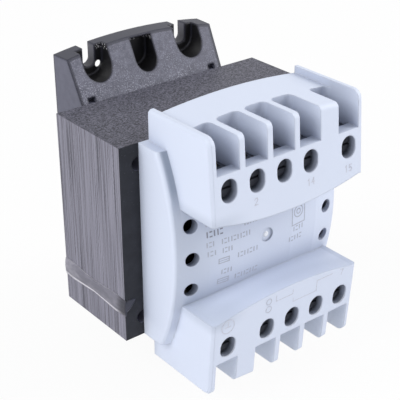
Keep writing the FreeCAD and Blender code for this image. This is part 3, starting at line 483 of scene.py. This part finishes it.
def weld():
    """Smooth bead with painted highlights along its rims and painted shade in its crease, darker
    where it turns onto the front of the core.
    """
    material, net, shader = finish("WeldBead")
    crease = effect(net, recess, Reach=1.2 * MM)
    edges = effect(net, soft_edges, Radius=0.5 * MM, Reach=0.5)
    place, normal = net.where()
    _, y, _ = net.apart(place)
    _, _, normal_z = net.apart(normal)
    stain = net.noise(net.stretched(place, (1.0, 0.5, 1.0)), 190.0, 3.0, 0.6)
    # Painted highlights along the bead's lower and upper rims.
    lower_rim = net.ease(normal_z, -0.4, -0.15, 1.0, 0.0)
    upper_rim = net.ease(normal_z, 0.5, 0.8, 0.0, 0.6)
    near_front = net.ease(y, CORE_FRONT + 0.4 * MM, CORE_FRONT + 5.5 * MM, 0.9, 0.0)
    # Painted shade in the crease along the bead.
    in_crease = net.ease(crease["Depth"], 0.3, 0.7, 0.0, 0.5)
    colour = net.colours(net.ease(stain, 0.35, 0.7), linear(116, 115, 127), linear(160, 158, 170))
    colour = net.colours(net.larger(lower_rim, upper_rim), colour, linear(244, 242, 250))
    colour = net.colours(in_crease, colour, linear(70, 68, 78))
    colour = net.colours(near_front, colour, linear(52, 52, 62))
    net.fill(shader, Base_Color=colour, Metallic=0.3, Roughness=0.34,
             Normal=bumped(net, stain, 0.04 * MM, Normal=edges["Normal"], Strength=0.5))
    return material


# ----------------------------------------------------------- the base's finish

HALF_BACK = 28.6 * MM
SIDE_DRAFT = math.tan(math.radians(3.0))
EAR_SIDE = 26.2 * MM
EAR_END = 43.0 * MM
EAR_TOP = 46.4 * MM
EAR_ARCH = 180 * MM

SLOT_NEAR = 15.7 * MM
SLOT_FAR = 20.7 * MM
SLOT_LEVEL = 38.4 * MM
SLOT_FRONT = -3.85 * MM

RIM_LEVEL = 43.6 * MM
RIM_SIDE = 17.5 * MM
RIM_BACK = -3.5 * MM

NOTCH_LEVEL = 33.0 * MM
NOTCH_SIDE = 21.8 * MM
NOTCH_BACK = -10.2 * MM


def in_slots(net, off_middle, y, off_level):
    """The walls of the ears' screw slots."""
    return net.times(
        net.above(y, SLOT_FRONT, 0.1 * MM),
        net.above(off_level, SLOT_LEVEL, 0.2 * MM),
        net.between(off_middle, SLOT_NEAR, SLOT_FAR, 0.1 * MM))


def on_border(net, x, y, off_level):
    """A line along both sides and the arched top of the ears' leaning front."""
    half_width = net.plus(HALF_BACK, net.times(y, SIDE_DRAFT))
    arch_drop = net.maths("DIVIDE", net.maths("POWER", x, 2.0), 2 * EAR_ARCH)
    side_line = net.above(net.minus(net.size(x), half_width), -1.1 * MM, 0.3 * MM)
    top_line = net.above(net.minus(off_level, net.minus(EAR_TOP, arch_drop)), -1.0 * MM, 0.3 * MM)
    return net.larger(side_line, top_line)


def on_pocket_rims(net, place, off_middle, y, off_level):
    """Painted glints along the upper rims of the inner pockets."""
    return net.times(
        net.above(net.noise(place, 1300.0, 1.0), 0.56, 0.04),
        net.above(off_level, RIM_LEVEL, 1.2 * MM),
        net.below(off_middle, RIM_SIDE, 2.5 * MM),
        net.below(y, RIM_BACK, 0.5 * MM))


def in_foot_notches(net, off_middle, y, off_level):
    """The small notches in the foot of the ears."""
    return net.times(
        net.below(off_level, NOTCH_LEVEL, 0.5 * MM),
        net.above(off_middle, NOTCH_SIDE, 0.4 * MM),
        net.below(y, NOTCH_BACK, 0.3 * MM))


def black_moulding():
    """Black filled plastic, greyed and speckled where open; the deep black of the pockets and the
    darker tops are partly painted shade, part of the specks are painted sparkle, the rim glints are
    painted highlights and the lighter foot notches are painted light.
    """
    material, net, shader = finish("BlackMoulding")
    edges = effect(net, soft_edges, Radius=1.1 * MM, Reach=0.05)
    place, normal = net.where()
    x, y, z = net.apart(place)
    normal_x, normal_y, normal_z = net.apart(normal)
    off_middle = net.size(x)
    off_level = net.size(z)
    forwards = net.times(normal_y, -1.0)
    outwards = net.times(normal_z, net.maths("SIGN", z))
    leaning = net.times(net.ease(forwards, 0.5, 0.6), net.ease(outwards, 0.2, 0.3))
    sides = net.times(net.ease(net.size(normal_x), 0.95, 0.98),
                      net.above(off_middle, EAR_SIDE, 0.4 * MM))
    tops = net.times(net.ease(outwards, 0.9, 0.94), net.above(off_level, EAR_END, 0.4 * MM))
    open_faces = net.larger(leaning, net.larger(sides, tops))

    speckle = net.noise(place, 2300.0, 2.0, 0.75)
    mottle = net.noise(place, 420.0, 3.0, 0.6)
    mottled = net.ease(mottle, 0.3, 0.7)
    low_down = net.ease(off_level, 27.0 * MM, 44.0 * MM, 1.0, 0.35)
    patches = net.ease(net.noise(place, 70.0, 2.0), 0.35, 0.6, 0.45, 1.0)
    # The bright specks are partly grain and partly painted sparkle.
    specks = net.times(net.ease(speckle, 0.51, 0.66, 0.0, 0.75), net.times(low_down, patches))

    border = net.times(on_border(net, x, y, off_level), leaning)
    border_tone = linear(38, 39, 54)
    side_tone = net.colours(mottled, linear(92, 93, 108), linear(99, 100, 115))
    worn_and_shaded = net.colours(mottled, linear(84, 85, 100), linear(104, 105, 121))
    worn_and_shaded = net.colours(net.times(leaning, specks), worn_and_shaded, linear(186, 187, 203))
    worn_and_shaded = net.colours(net.times(border, 0.75), worn_and_shaded, border_tone)
    worn_and_shaded = net.colours(sides, worn_and_shaded, side_tone)
    # The darker tops are partly painted shade.
    worn_and_shaded = net.colours(tops, worn_and_shaded, linear(52, 53, 65))

    # Painted glints on the pocket rims and inside the pockets.
    rims = on_pocket_rims(net, place, off_middle, y, off_level)
    glint = net.ease(speckle, 0.7, 0.76, 0.0, 0.5)
    deep = net.colours(glint, linear(20, 20, 23), linear(96, 96, 104))
    deep = net.colours(rims, deep, linear(226, 226, 232))
    deep = net.colours(in_slots(net, off_middle, y, off_level), deep, linear(84, 84, 94))
    # Painted light: the foot notches get a lighter tone than the shade around them.
    deep = net.colours(in_foot_notches(net, off_middle, y, off_level), deep, linear(110, 112, 130))

    # The pockets' deep black is partly painted shade.
    colour = net.colours(open_faces, deep, worn_and_shaded)
    colour = net.colours(net.times(edges["Edge"], 0.85), colour, border_tone)
    height = net.times(net.plus(speckle, mottle), leaning)
    net.fill(shader, Base_Color=colour, Roughness=net.ease(open_faces, 0.0, 1.0, 0.4, 0.5),
             Specular_IOR_Level=0.4,
             Normal=bumped(net, height, 0.05 * MM, Normal=edges["Normal"], Strength=0.6))
    return material


# -------------------------------------------------------------- other finishes

WIRE_PITCH = 0.7 * MM
TAPE_PITCH = 9 * MM


def moulded_plastic(name, tone, roughness, edge_tone=None):
    """Satin moulded plastic with eased edges."""
    material, net, shader = finish(name)
    skin = effect(net, moulded_skin, Grain_Size=0.3 * MM, Tone=tone, Tone_Change=0.04)
    edges = effect(net, soft_edges, Radius=0.4 * MM)
    colour = skin["Color"]
    if edge_tone:
        colour = net.colours(net.times(edges["Edge"], 0.5), colour, edge_tone)
    net.fill(shader, Base_Color=colour, Roughness=roughness, Specular_IOR_Level=0.4,
             Normal=bumped(net, skin["Height"], 0.01 * MM, Normal=edges["Normal"]))
    return material


def plain_metal(name, tone, roughness, streak, metallic=0.9):
    """Plated or drawn metal with light streaks."""
    material, net, shader = finish(name)
    edges = effect(net, soft_edges, Radius=0.15 * MM)
    place, _ = net.where()
    streaks = net.noise(net.stretched(place, streak), 900.0, 2.0)
    colour = net.colours(net.ease(streaks, 0.35, 0.65), toned(tone, 0.72), tone)
    polish = net.ease(streaks, 0.3, 0.7, roughness - 0.06, roughness + 0.08)
    net.fill(shader, Base_Color=colour, Metallic=metallic, Roughness=polish,
             Normal=bumped(net, streaks, 0.01 * MM, Normal=edges["Normal"]))
    return material


def wound_wire():
    """Enamelled copper wire wound in close turns round the limb."""
    material, net, shader = finish("WoundWire")
    place, _ = net.where()
    _, _, z = net.apart(place)
    turns = net.maths("SINE", net.times(z, 2 * math.pi / WIRE_PITCH))
    height = net.ease(turns, -1.0, 0.6)
    tone = net.noise(net.stretched(place, (20.0, 20.0, 700.0)), 1.0, 1.0)
    copper = net.colours(net.ease(tone, 0.3, 0.7), linear(132, 66, 34), linear(184, 104, 58))
    # Painted shade: the grooves between the turns are darker.
    colour = net.colours(height, linear(70, 32, 18), copper)
    net.fill(shader, Base_Color=colour, Metallic=0.6, Roughness=0.35,
             Normal=bumped(net, height, 0.2 * MM))
    return material


def wrap(name, tone):
    """A wrap of film round the coil, with its lapped turns."""
    material, net, shader = finish(name)
    place, _ = net.where()
    _, _, z = net.apart(place)
    lap = net.maths("FRACT", net.maths("DIVIDE", z, TAPE_PITCH))
    crease = net.noise(place, 260.0, 3.0)
    colour = net.colours(net.ease(crease, 0.3, 0.7, 0.0, 0.35), tone, toned(tone, 0.6))
    # Painted shade: a dark line where each turn of film laps over the last.
    colour = net.colours(net.ease(lap, 0.0, 0.06, 0.4, 0.0), colour, BLACK)
    height = net.plus(crease, net.ease(lap, 0.0, 0.06))
    net.fill(shader, Base_Color=colour, Roughness=0.4, Normal=bumped(net, height, 0.08 * MM))
    return material


def print_ink(name, tone):
    """Pale grey pad print, a little uneven."""
    material, net, shader = finish(name)
    place, _ = net.where()
    patchy = net.ease(net.noise(place, 1500.0, 2.0), 0.35, 0.65)
    net.fill(shader, Base_Color=net.colours(patchy, tone, toned(tone, 1.12)), Roughness=0.5)
    return material


def glossy_plastic(name, tone):
    """Shining plastic with a slightly uneven gloss."""
    material, net, shader = finish(name)
    place, _ = net.where()
    net.fill(shader, Base_Color=tone, Roughness=0.1,
             Normal=bumped(net, net.noise(place, 1900.0), 0.2 * MM))
    return material


FINISHES = {
    "core_steel": core_steel(),
    "weld": weld(),
    "black_moulding": black_moulding(),
    "former_plastic": moulded_plastic("FormerPlastic", linear(196, 190, 172), 0.5),
    "copper": wound_wire(),
    "insulation": wrap("WrapBetweenWindings", linear(214, 196, 130)),
    # The outer tape's near-black tone is painted shade for what is seen through the vents.
    "tape": wrap("OuterTape", linear(34, 32, 30)),
    "cover_plastic": cover_plastic(),
    "latch_plastic": moulded_plastic("LatchPlastic", linear(34, 34, 40), 0.42,
                                     edge_tone=linear(70, 70, 80)),
    "spring_steel": plain_metal("SpringWire", linear(176, 178, 184), 0.25, (1.0, 1.0, 6.0)),
    "clamp_steel": plain_metal("ClampPlating", linear(120, 124, 134), 0.38, (1.0, 1.0, 4.0)),
    "contact_brass": plain_metal("ContactBrass", linear(186, 156, 92), 0.35, (5.0, 1.0, 1.0)),
    # The screws' dark tone is partly painted shade inside the driver holes.
    "screw_steel": plain_metal("ScrewPlatingAndShade", linear(52, 55, 65), 0.6, (1.0, 5.0, 1.0),
                               metallic=0.3),
}

slot_of = {part["node"]: part["material_slot"] for part in frame["record"]["subparts"]}
for node_name, solid in nodes.items():
    solid.data.materials.clear()
    solid.data.materials.append(FINISHES[slot_of[node_name]])


# ------------------------------------------------------------- pieces in place

cover_mesh = nodes["terminal_cover"].data
cover_skin = BVHTree.FromPolygons([vertex.co.copy() for vertex in cover_mesh.vertices],
                                  [tuple(face.vertices) for face in cover_mesh.polygons])
BEFORE_COVER = -0.1
BACKWARDS = Vector((0.0, 1.0, 0.0))


def cover_front(x, z):
    """How far forward the cover's front is at a place seen from the front."""
    return cover_skin.ray_cast(Vector((x, BEFORE_COVER, z)), BACKWARDS)[0].y


def put_in_scene(name, data):
    thing = bpy.data.objects.new(name, data)
    bpy.context.scene.collection.objects.link(thing)
    return thing


def put_on_cover(name, drawn, material):
    """Turns a drawn mesh into a piece on the cover."""
    mesh = bpy.data.meshes.new(name)
    drawn.to_mesh(mesh)
    drawn.free()
    mesh.materials.append(material)
    piece = put_in_scene(name, mesh)
    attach(piece, "transformer")


# ----------------------------------------------------------------------- print

# The print is drawn in millimetres. These are widths of line, then steps and proportions.
HAIR, FINE, THIN, PLAIN, BOLD = 0.2, 0.22, 0.25, 0.3, 0.36
INK_RISE = 0.03 * MM
STROKE_STEP = 0.8
RING_STEPS = 20
MARK_PITCH = 1.15
NUMERAL_PITCH = 0.85
NUMERAL_WIDTH = 0.55

NUMERALS = {
    "1": [[(0.2, 0.8), (0.55, 1.0), (0.55, 0.0)]],
    "2": [[(0.0, 0.8), (0.3, 1.0), (0.8, 1.0), (1.0, 0.7), (0.0, 0.0), (1.0, 0.0)]],
    "4": [[(0.7, 0.0), (0.7, 1.0), (0.0, 0.35), (1.0, 0.35)]],
    "5": [[(0.95, 1.0), (0.1, 1.0), (0.05, 0.55), (0.6, 0.6), (1.0, 0.35), (0.7, 0.0),
           (0.0, 0.05)]],
    "7": [[(0.0, 1.0), (1.0, 1.0), (0.35, 0.0)]],
}


class InkSheet:
    """Thin strokes of ink laid on the front of the cover, whatever its slope."""

    def __init__(self, name, ink):
        self.name = name
        self.ink = ink
        self.film = bmesh.new()

    def laid(self, x, z):
        return self.film.verts.new((x * MM, cover_front(x * MM, z * MM) - INK_RISE, z * MM))

    def stroke(self, points, width=PLAIN):
        """A straight piece from each point to the next, in short steps that follow the surface."""
        for (x0, z0), (x1, z1) in zip(points, points[1:]):
            length = math.hypot(x1 - x0, z1 - z0)
            along = ((x1 - x0) / length, (z1 - z0) / length)
            half = width / 2
            steps = max(1, round(length / STROKE_STEP))
            previous = None
            for step in range(steps + 1):
                far = -half + (length + width) * step / steps
                x = x0 + along[0] * far
                z = z0 + along[1] * far
                pair = (self.laid(x - along[1] * half, z + along[0] * half),
                        self.laid(x + along[1] * half, z - along[0] * half))
                if previous:
                    self.film.faces.new((previous[0], previous[1], pair[1], pair[0]))
                previous = pair

    def box(self, x0, x1, z0, z1):
        self.stroke([(x0, z0), (x1, z0), (x1, z1), (x0, z1), (x0, z0)])

    def ring(self, x, z, radius, width=PLAIN):
        turns = [2 * math.pi * step / RING_STEPS for step in range(RING_STEPS + 1)]
        self.stroke([(x + radius * math.cos(turn), z + radius * math.sin(turn))
                     for turn in turns], width)

    def field(self, x0, x1, middle, height=1.6, width=BOLD):
        """A row of plain uprights and paired dashes, as long as one line of print."""
        count = max(2, round((x1 - x0) / MARK_PITCH))
        pitch = (x1 - x0) / count
        for place in range(count):
            x = x0 + (place + 0.5) * pitch
            if place % 3 == 1:
                for z in (middle - height * 0.42, middle + height * 0.42):
                    self.stroke([(x - pitch * 0.22, z), (x + pitch * 0.22, z)], width)
            else:
                self.stroke([(x, middle - height * 0.4), (x, middle + height * 0.4)], width)

    def number(self, digits, x, middle, height=2.0, width=0.26):
        """Plain numerals in straight strokes, centred on x."""
        pitch = height * NUMERAL_PITCH
        start = x - pitch * (len(digits) - 1) / 2
        for place, digit in enumerate(digits):
            for line in NUMERALS[digit]:
                self.stroke([(start + pitch * place + (u - 0.5) * height * NUMERAL_WIDTH,
                              middle + (v - 0.5) * height) for u, v in line], width)

    def put_on(self):
        put_on_cover(self.name, self.film, self.ink)


panel_print = InkSheet("PanelPrint", print_ink("PanelInk", linear(172, 176, 191)))
panel_print.field(-22.6, -14.0, 10.2)
panel_print.field(-9.2, -2.6, 6.9)
panel_print.field(-22.6, -19.4, 3.5)
panel_print.field(-17.4, -6.4, 3.3)
panel_print.field(-22.4, -18.7, 0.4)
panel_print.field(-17.1, -13.0, 0.2)
panel_print.field(-11.7, -3.3, -3.0)
panel_print.box(-18.0, -14.4, -3.9, -2.4)
panel_print.stroke([(-18.0, -3.15), (-14.4, -3.15)], HAIR)
panel_print.field(-17.3, -12.9, -7.2)
panel_print.field(-12.2, -3.0, -10.5)
panel_print.box(-18.0, -14.2, -11.2, -9.6)
panel_print.stroke([(-18.0, -10.4), (-14.2, -10.4)], HAIR)
panel_print.box(10.3, 15.9, -0.6, 6.7)
panel_print.ring(13.1, 3.6, 1.9)
panel_print.ring(13.1, 3.6, 0.8, THIN)
panel_print.field(10.6, 15.6, -2.0)
panel_print.field(8.9, 15.0, -5.2)
panel_print.put_on()

dark_print = InkSheet("PanelPrintDark", print_ink("DarkPanelInk", linear(132, 134, 148)))
dark_print.field(-22.5, -16.4, 6.8, height=1.8, width=0.42)
dark_print.put_on()

block_print = InkSheet("BlockPrint", print_ink("BlockInk", linear(198, 201, 216)))
block_print.number("2", -13.4, 19.6)
block_print.number("14", 7.65, 19.3)
block_print.number("15", 22.9, 19.0)
block_print.ring(-23.4, -18.1, 2.35, THIN)
block_print.stroke([(-23.4, -16.6), (-23.4, -18.3)], THIN)
block_print.stroke([(-24.5, -18.3), (-22.3, -18.3)], THIN)
block_print.ring(-7.7, -15.8, 1.0, FINE)
block_print.ring(-7.6, -18.6, 1.1, FINE)
block_print.stroke([(-4.75, -14.8), (-4.75, -16.8), (2.0, -16.8), (2.0, -15.3)], FINE)
block_print.stroke([(2.4, -18.6), (2.4, -19.8), (12.1, -19.8), (12.1, -16.0), (18.6, -16.0)],
                   FINE)
block_print.number("7", 22.8, -16.9)
block_print.put_on()


# ------------------------------------------------------------------- gate mark

PIP_RADIUS = 1.0 * MM
PIP_RISE = 0.35 * MM
PIP_SIDES = 16
PIP_RINGS = ((1.0, 0.0), (0.8, 0.6), (0.45, 0.92))


def make_gate_mark():
    """The glossy pip that the mould's gate leaves in the shallow round mark."""
    foot = cover_front(0.0, 0.0)
    turns = [2 * math.pi * step / PIP_SIDES for step in range(PIP_SIDES)]
    pip = bmesh.new()
    rings = []
    for width, lift in PIP_RINGS:
        radius = PIP_RADIUS * width
        rings.append([pip.verts.new((radius * math.cos(turn), foot - PIP_RISE * lift,
                                     radius * math.sin(turn))) for turn in turns])
    for outer, inner in zip(rings, rings[1:]):
        for step in range(PIP_SIDES):
            following = (step + 1) % PIP_SIDES
            pip.faces.new((outer[step], outer[following], inner[following], inner[step]))
    pip.faces.new(rings[-1])
    # The pip's whiter tone is partly a painted highlight.
    put_on_cover("GatePip", pip, glossy_plastic("GatePip", linear(244, 247, 253)))


make_gate_mark()


# ---------------------------------------------------------------- latch spring

LATCH_TRAVEL = 4 * MM


def make_latch_spring():
    """The spring under the latch's tab, which closes up as the latch is pulled down; here it is a
    rigid copy on the transformer's body.
    """
    spring = put_in_scene("LatchSpringCoil", nodes["latch_spring"].data.copy())
    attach(spring, "transformer")
    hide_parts("latch_spring")
    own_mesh(spring)


make_latch_spring()


# ----------------------------------------------------------------------- stage

FLOOR_TONE = (0.86, 0.86, 0.87, 1.0)
FLOOR_WHITENESS = 0.94
FLOOR_REACH = 3.0
FLOOR_CLEARANCE = 0.2 * MM
ROOM_STRENGTH = 0.47
LAMP_SIZE = 1.2
LAMP_AIM = (0.0, -0.04, 0.0)

CAMERA_PLACE = (-0.19274, -0.28123, 0.15971)
AZIMUTH = math.radians(-38.336)
ELEVATION = math.radians(27.40)
ROLL = math.radians(-0.264)
FOCAL_LENGTH = 97.66
SENSOR_WIDTH = 36.0


def make_floor():
    """A floor that stays white to the camera and keeps a soft shadow, clear of the low latch."""
    material = bpy.data.materials.new("PaleFloor")
    material.use_nodes = True
    material.node_tree.nodes.clear()
    net = Net(material.node_tree)
    matt = net.put("ShaderNodeBsdfDiffuse", Color=FLOOR_TONE)
    white = net.put("ShaderNodeEmission", Color=WHITE, Strength=1.0)
    seen = net.put("ShaderNodeLightPath").outputs["Is Camera Ray"]
    both = net.put("ShaderNodeMixShader")
    net.feed(both.inputs[0], net.times(seen, FLOOR_WHITENESS))
    net.feed(both.inputs[1], matt.outputs[0])
    net.feed(both.inputs[2], white.outputs[0])
    net.put("ShaderNodeOutputMaterial", Surface=both.outputs[0])

    level = solids_box[0][2] - LATCH_TRAVEL - FLOOR_CLEARANCE
    corners = [(x * FLOOR_REACH, y * FLOOR_REACH, level)
               for x, y in ((-1, -1), (1, -1), (1, 1), (-1, 1))]
    mesh = bpy.data.meshes.new("Floor")
    mesh.from_pydata(corners, [], [(0, 1, 2, 3)])
    mesh.materials.append(material)
    floor = put_in_scene("Floor", mesh)
    floor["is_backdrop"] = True


def make_world():
    """A room that is white to the camera and in reflections, and lights the part more softly."""
    world = bpy.data.worlds.new("StudioRoom")
    bpy.context.scene.world = world
    world.use_nodes = True
    world.node_tree.nodes.clear()
    net = Net(world.node_tree)
    path = net.put("ShaderNodeLightPath").outputs
    mirrored = net.larger(path["Is Glossy Ray"], path["Is Transmission Ray"])
    open_view = net.larger(path["Is Camera Ray"], mirrored)
    strength = net.ease(open_view, 0.0, 1.0, ROOM_STRENGTH, 1.0)
    light = net.put("ShaderNodeBackground", Color=WHITE, Strength=strength)
    net.put("ShaderNodeOutputWorld", Surface=light.outputs[0])


def make_lamp(name, place, power):
    lamp = bpy.data.lights.new(name, "AREA")
    lamp.shape = "SQUARE"
    lamp.size = LAMP_SIZE
    lamp.energy = power
    holder = put_in_scene(name, lamp)
    holder.location = place
    aim = Vector(LAMP_AIM) - Vector(place)
    holder.rotation_euler = aim.to_track_quat("-Z", "Y").to_euler()


def make_camera():
    """The photograph's view: from the left, above and in front."""
    right = Vector((math.cos(AZIMUTH), math.sin(AZIMUTH), 0.0))
    back = Vector((math.sin(AZIMUTH) * math.cos(ELEVATION),
                   -math.cos(AZIMUTH) * math.cos(ELEVATION), math.sin(ELEVATION)))
    up = back.cross(right)
    rolled_right = right * math.cos(ROLL) + up * math.sin(ROLL)
    rolled_up = up * math.cos(ROLL) - right * math.sin(ROLL)
    camera = bpy.data.cameras.new("PhotoCamera")
    camera.sensor_width = SENSOR_WIDTH
    camera.sensor_fit = "HORIZONTAL"
    camera.lens = FOCAL_LENGTH
    camera.clip_start = 0.01
    holder = put_in_scene("PhotoCamera", camera)
    axes = Matrix((rolled_right, rolled_up, back)).transposed().to_4x4()
    holder.matrix_world = Matrix.Translation(CAMERA_PLACE) @ axes
    bpy.context.scene.camera = holder


make_camera()
make_world()
make_floor()
make_lamp("KeyLight", (1.3, -0.9, 0.85), 19.5)
make_lamp("SideLight", (-1.55, 0.0, 1.15), 22.5)
bpy.context.scene.view_settings.view_transform = "Standard"

lowest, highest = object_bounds()
